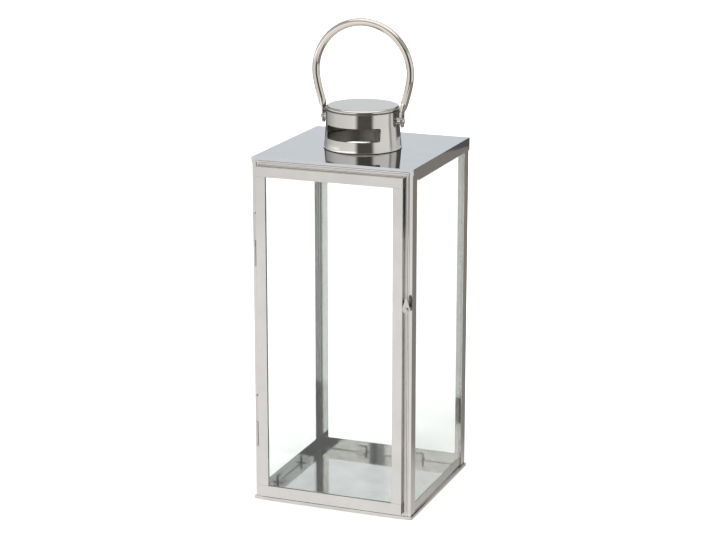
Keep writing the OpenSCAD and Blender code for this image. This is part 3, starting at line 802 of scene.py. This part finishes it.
def card_material(name, light, outwards=None, fade=None):
    """Light that is seen only once a ray has met something glossy.

    Light is one grey, or a ring of directions and greys. Outwards lists distances from the middle and
    the greys that the ring is multiplied by there, and fade is a ring of how solid the card is.
    """
    material, tree = new_material(name)
    if isinstance(light[0], float):
        glow = add(tree, "ShaderNodeEmission", {"Color": light, "Strength": 1.0})
    else:
        place = add(tree, "ShaderNodeTexCoord").outputs["Object"]
        shade = ring_ramp(tree, place, light)
        if outwards:
            far = add(tree, "ShaderNodeVectorMath", {"operation": "LENGTH"}, {0: place})
            graded = add(tree, "ShaderNodeValToRGB", {"stops": outwards}, {"Fac": far.outputs["Value"]})
            shade = add(tree, "ShaderNodeMix", {"data_type": "RGBA", "blend_type": "MULTIPLY", 0: 1.0},
                        {6: shade, 7: graded.outputs["Color"]}).outputs[2]
        glow = add(tree, "ShaderNodeEmission", {"Strength": 1.0}, {"Color": shade})
    path = add(tree, "ShaderNodeLightPath")
    seen = add(tree, "ShaderNodeMath", {"operation": "GREATER_THAN", 1: 0.5},
               {0: path.outputs["Glossy Depth"]}).outputs[0]
    if fade:
        solid = ring_ramp(tree, place, fade)
        seen = add(tree, "ShaderNodeMath", {"operation": "MULTIPLY"}, {0: seen, 1: solid}).outputs[0]
    clear = add(tree, "ShaderNodeBsdfTransparent")
    card = add(tree, "ShaderNodeMixShader", None,
               {0: seen, 1: clear.outputs["BSDF"], 2: glow.outputs["Emission"]})
    add(tree, "ShaderNodeOutputMaterial", None, {"Surface": card.outputs["Shader"]})
    return material


def ring_points(form, radius, height, steps=128):
    """Corners of a circle round the lantern."""
    turns = [2 * math.pi * i / steps for i in range(steps)]
    return [form.verts.new((radius * math.sin(t), -radius * math.cos(t), height)) for t in turns]


def ring_wall(low, high):
    """Fills a mesh with a round upright wall at the cards' radius."""
    def build(form):
        top, foot = (ring_points(form, CARD_RADIUS, height) for height in (high, low))
        bridge(form, closed(top), closed(foot))
    return build


def disc(radius, height):
    """Fills a mesh with a flat disc at a height."""
    def build(form):
        form.faces.new(ring_points(form, radius, height))
    return build


def soft_light(name, place, size, power):
    """A square soft box aimed at the lantern."""
    light = bpy.data.lights.new(name, "AREA")
    light.shape = "SQUARE"
    light.size = size
    light.energy = power
    lamp = bpy.data.objects.new(name, light)
    lamp.location = place
    aim = Vector((0, 0, 0.2)) - Vector(place)
    lamp.rotation_mode = "QUATERNION"
    lamp.rotation_quaternion = aim.to_track_quat("-Z", "Y")
    lamp.visible_glossy = False
    bpy.context.scene.collection.objects.link(lamp)


def place_camera(studio):
    """A long lens that looks a little down on the lantern from its front right."""
    camera = bpy.data.objects.new("camera", bpy.data.cameras.new("camera"))
    bpy.context.scene.collection.objects.link(camera)
    camera.data.lens = studio.lens
    camera.data.sensor_width = 36.0
    camera.data.clip_end = 50.0
    back = Vector((math.sin(studio.azimuth) * math.cos(studio.elevation),
                   -math.cos(studio.azimuth) * math.cos(studio.elevation), math.sin(studio.elevation)))
    aim = Vector((-studio.aim_left, 0.0, studio.aim_height))
    camera.location = aim + back * studio.distance
    camera.rotation_mode = "QUATERNION"
    camera.rotation_quaternion = (-back).to_track_quat("-Z", "Y")
    bpy.context.scene.camera = camera


class LANTERN_OT_studio(bpy.types.Operator):
    """Set up the floor, the reflected cards, the soft lights and the camera"""
    bl_idname = "lantern.studio"
    bl_label = "Studio"

    def execute(self, context):
        studio = context.scene.lantern_studio
        floor = mesh_piece("floor", disc(8.0, 0.0))
        floor.data.materials.append(matt_floor(studio))
        dark, warm_dark = grey(0.12), grey(0.10, 0.06)
        # From the back left round the front to the back right, as degrees from the front towards the right
        round_front = ((-123, grey(0.42)), (-70, grey(0.95)), (-4, grey(1.1)), (7, warm_dark),
                       (47, warm_dark), (57, grey(1.0)), (106, grey(1.1)), (111, grey(0.45)),
                       (115, grey(0.45)), (120, grey(0.87)), (138, grey(0.87)))
        cup_ring = ((-180, dark), (-129, dark)) + round_front + ((147, dark), (180, dark))
        low_back = grey(0.27, 0.11)
        low_ring = cup_ring[:-2] + ((147, low_back), (180, low_back))
        # An opening to the back left, which the roof and the lid face
        opening = grey(0.84, -0.035)
        roof_ring = ((-180, dark), (-173, dark), (-170, opening), (-144, opening), (-140, dark),
                     (-129, dark)) + round_front + ((147, dark), (180, dark))
        sky, dim_sky = grey(1.1, -0.04), grey(0.9, -0.04)
        tray_ring = ((-180, sky), (-130, sky), (-123, grey(0.42)), (-60, grey(1.9)), (-4, grey(1.9)),
                     (7, warm_dark), (47, warm_dark), (57, grey(1.0)), (138, grey(1.0)), (147, dim_sky),
                     (174, dim_sky), (180, sky))
        # The ground behind the lantern and to its right, which the right-hand faces mirror
        patch_ring = ((-180, grey(1.0)), (-136, grey(1.0)), (160, grey(0.53)), (170, grey(1.0)),
                      (180, grey(1.0)))
        patch_outwards = ((0.0, grey(0.95, 0.04)), (0.13, grey(0.95, 0.05)), (0.2, grey(0.56, 0.05)),
                          (1.0, grey(0.52, 0.08)))
        patch_fade = ((-180, grey(1.0)), (-136, grey(1.0)), (-124, grey(0.0)), (42, grey(0.0)),
                      (46, grey(1.0)), (180, grey(1.0)))
        cards = (
            ("low_wall", ring_wall(0.0, LOW_TOP), low_ring, None, None),
            ("cup_wall", ring_wall(LOW_TOP, CUP_TOP), cup_ring, None, None),
            ("tray_wall", ring_wall(CUP_TOP, TRAY_TOP), tray_ring, None, None),
            ("roof_wall", ring_wall(TRAY_TOP, ROOF_TOP), roof_ring, None, None),
            ("high_wall", ring_wall(ROOF_TOP, CEILING), grey(0.55), None, None),
            ("ceiling", disc(CARD_RADIUS, CEILING), grey(1.6), None, None),
            ("floor_light", disc(CARD_RADIUS, 0.3 * MM), grey(1.14), None, None),
            ("floor_patch", disc(CARD_RADIUS, 0.6 * MM), patch_ring, patch_outwards, patch_fade),
        )
        for name, build, light, outwards, fade in cards:
            card = mesh_piece(name, build)
            card.data.materials.append(card_material(name + "_light", light, outwards, fade))
            reflected_only(card)
        soft_light("key_light", (-1.6, -1.8, 2.2), 1.6, 50)
        soft_light("fill_light", (2.0, -1.2, 1.8), 1.6, 22)
        soft_light("back_light", (0.3, 2.2, 2.4), 1.8, 36)
        world = bpy.data.worlds.new("white_studio")
        world.use_nodes = True
        world.node_tree.nodes["Background"].inputs["Color"].default_value = (1.0, 1.0, 1.0, 1.0)
        world.node_tree.nodes["Background"].inputs["Strength"].default_value = 1.2
        context.scene.world = world
        context.scene.view_settings.view_transform = "Standard"
        place_camera(studio)
        return {"FINISHED"}


class LANTERN_PT_panel(bpy.types.Panel):
    """Lists the lantern's operators"""
    bl_label = "Candle Lantern"
    bl_idname = "LANTERN_PT_panel"
    bl_space_type = "VIEW_3D"
    bl_region_type = "UI"
    bl_category = "Lantern"

    def draw(self, context):
        for name in STEPS:
            self.layout.operator("lantern." + name)


STEPS = ("case", "glass", "chimney", "bail", "fittings", "studio")
GROUPS = (LanternColours, LanternSizes, LanternStudio)
CLASSES = GROUPS + (LANTERN_OT_case, LANTERN_OT_glass, LANTERN_OT_chimney, LANTERN_OT_bail,
                    LANTERN_OT_fittings, LANTERN_OT_studio, LANTERN_PT_panel)


def register():
    for cls in CLASSES:
        bpy.utils.register_class(cls)
    bpy.types.Scene.lantern_colours = PointerProperty(type=LanternColours)
    bpy.types.Scene.lantern_sizes = PointerProperty(type=LanternSizes)
    bpy.types.Scene.lantern_studio = PointerProperty(type=LanternStudio)


def unregister():
    del bpy.types.Scene.lantern_studio
    del bpy.types.Scene.lantern_sizes
    del bpy.types.Scene.lantern_colours
    for cls in reversed(CLASSES):
        bpy.utils.unregister_class(cls)


def main():
    register()
    for name in STEPS:
        getattr(bpy.ops.lantern, name)()


if __name__ == "__main__":
    main()
